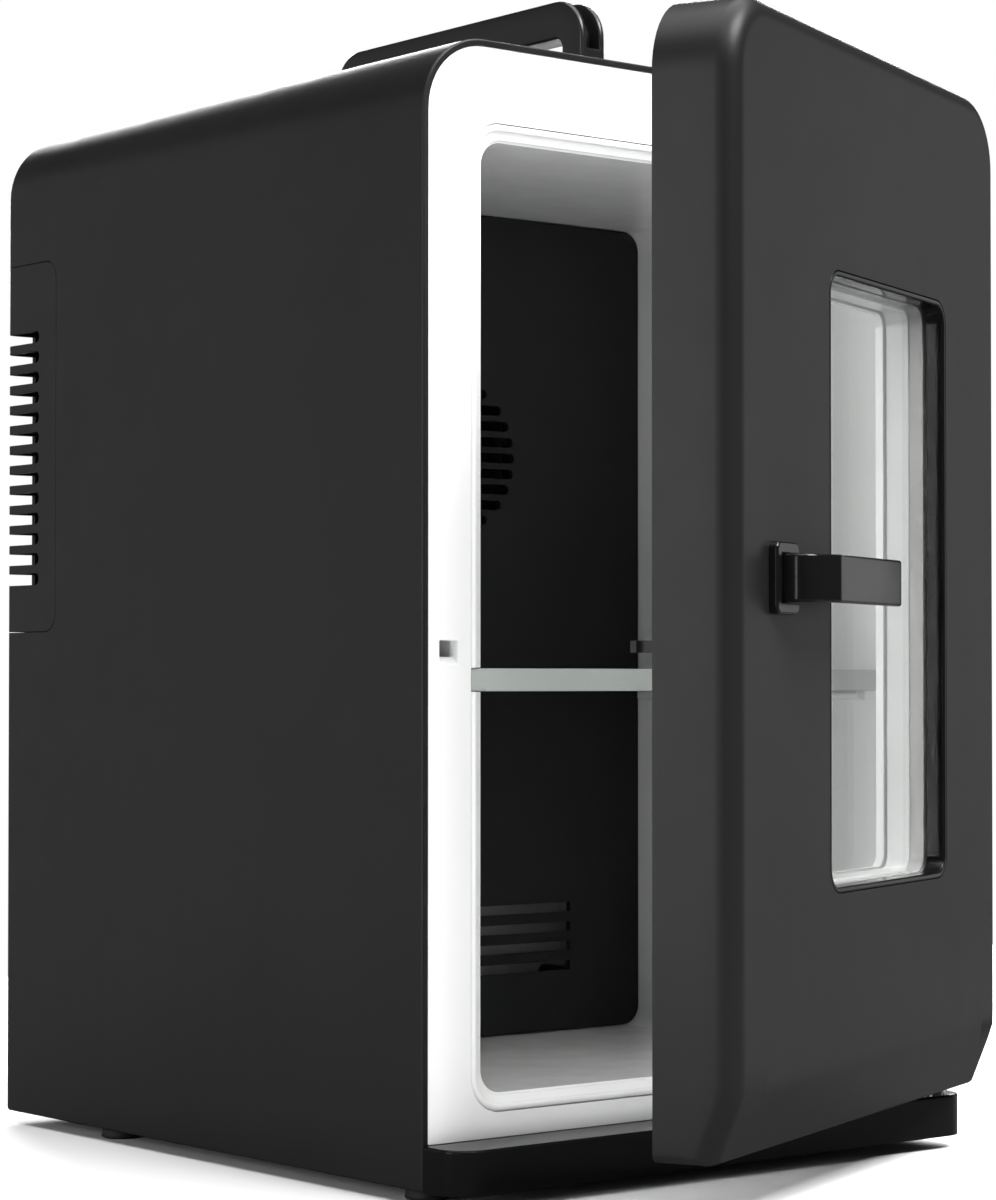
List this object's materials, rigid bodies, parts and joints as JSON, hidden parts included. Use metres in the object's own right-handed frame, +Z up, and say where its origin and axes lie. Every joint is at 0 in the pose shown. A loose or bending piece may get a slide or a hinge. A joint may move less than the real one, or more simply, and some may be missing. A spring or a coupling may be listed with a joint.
{
  "type": "mini fridge",
  "caption": "Portable thermoelectric mini fridge with a hinged windowed door, lever latch, fold-down carry handle, shelf and rear fan cooling.",
  "frame": {"origin": "on the base pan's underside, on the middle plane, directly under the cabinet's front face; the rubber feet reach 5 mm lower", "axes": "+X to the right seen from the front, +Y from the door to the rear cover, +Z up; the door stands ajar by 23.14 degrees at rest"},
  "size_m": [0.2589, 0.4074, 0.4427],
  "materials": {
    "charcoal_plastic": "satin moulded",
    "door_black": "fine satin",
    "handle_black": "satin moulded",
    "gloss_black": "polished",
    "black_panel": "matt moulded",
    "gloss_white": "gloss",
    "grey_white": "satin",
    "gasket": "soft matt",
    "rubber": "matt",
    "foam": "open foam",
    "aluminium": "extruded",
    "steel": "turned",
    "black_steel": "black coated",
    "brass": "nickel-bright",
    "ceramic": "ceramic",
    "circuit_board": "lacquered",
    "bush_plastic": "acetal",
    "clear_pane": "clear",
    "clear_spacer": "frosted"
  },
  "bodies": {
    "cabinet": {"outer_shell": "charcoal_plastic", "rear_cover": "charcoal_plastic", "rear_cover_screws": "black_steel", "base_plinth": "gloss_black", "rubber_feet": "rubber", "front_frame": "gloss_white", "inner_liner": "gloss_white", "insulation_foam": "foam", "strike_plate": "gloss_white", "shelf": "grey_white", "duct_cover": "black_panel", "cold_sink": "aluminium", "cold_block": "aluminium", "peltier_tile": "ceramic", "hot_sink": "aluminium", "inner_fan_frame": "black_panel", "outer_fan_frame": "black_panel", "outer_fan_screws": "steel", "control_board": "circuit_board", "mode_switch_body": "gloss_black", "ac_inlet": "black_panel", "ac_inlet_pins": "brass", "dc_socket": "black_panel", "upper_hinge_bracket": "black_steel", "hinge_bracket_screws": "steel", "upper_hinge_pin": "steel", "lower_hinge_pin": "steel", "handle_brackets": "handle_black", "handle_pivot_pins": "steel"},
    "door": {"door_outer": "door_black", "door_inner": "gloss_white", "door_foam": "foam", "door_gasket": "gasket", "window_bezel": "gloss_black", "outer_pane": "clear_pane", "pane_spacer": "clear_spacer", "inner_pane": "clear_pane", "door_hinge_bushes": "bush_plastic", "latch_escutcheon": "gloss_black", "latch_pin": "steel"},
    "latch": {"latch_lever": "gloss_black", "latch_hook": "black_panel"},
    "handle": {"carry_handle": "handle_black"},
    "inner_fan": {"inner_fan_rotor": "black_panel"},
    "outer_fan": {"outer_fan_rotor": "black_panel"},
    "mode_switch": {"mode_switch_rocker": "gloss_black"}
  },
  "joints": [
    {"name": "door_hinge", "type": "hinge", "parent": "cabinet", "child": "door", "pos_m": [0.121, -0.006, 0.2], "axis": [0, 0, 1], "range_deg": [-23.1, 70]},
    {"name": "latch_lever_pivot", "type": "hinge", "parent": "door", "child": "latch", "pos_m": [-0.06909, -0.09811, 0.209], "axis": [0, 0, 1], "range_deg": [-3, 6]},
    {"name": "carry_handle_pivot", "type": "hinge", "parent": "cabinet", "child": "handle", "pos_m": [0, 0.137, 0.409], "axis": [0, 1, 0], "range_deg": [-90, 90]},
    {"name": "outer_fan_spin", "type": "hinge", "parent": "cabinet", "child": "outer_fan", "pos_m": [0, 0.262, 0.266], "axis": [0, 1, 0], "continuous": true},
    {"name": "inner_fan_spin", "type": "hinge", "parent": "cabinet", "child": "inner_fan", "pos_m": [0, 0.157, 0.266], "axis": [0, 1, 0], "continuous": true},
    {"name": "mode_switch_rock", "type": "hinge", "parent": "cabinet", "child": "mode_switch", "pos_m": [0.01, 0.278, 0.06], "axis": [1, 0, 0], "range_deg": [-9, 9]}
  ]
}
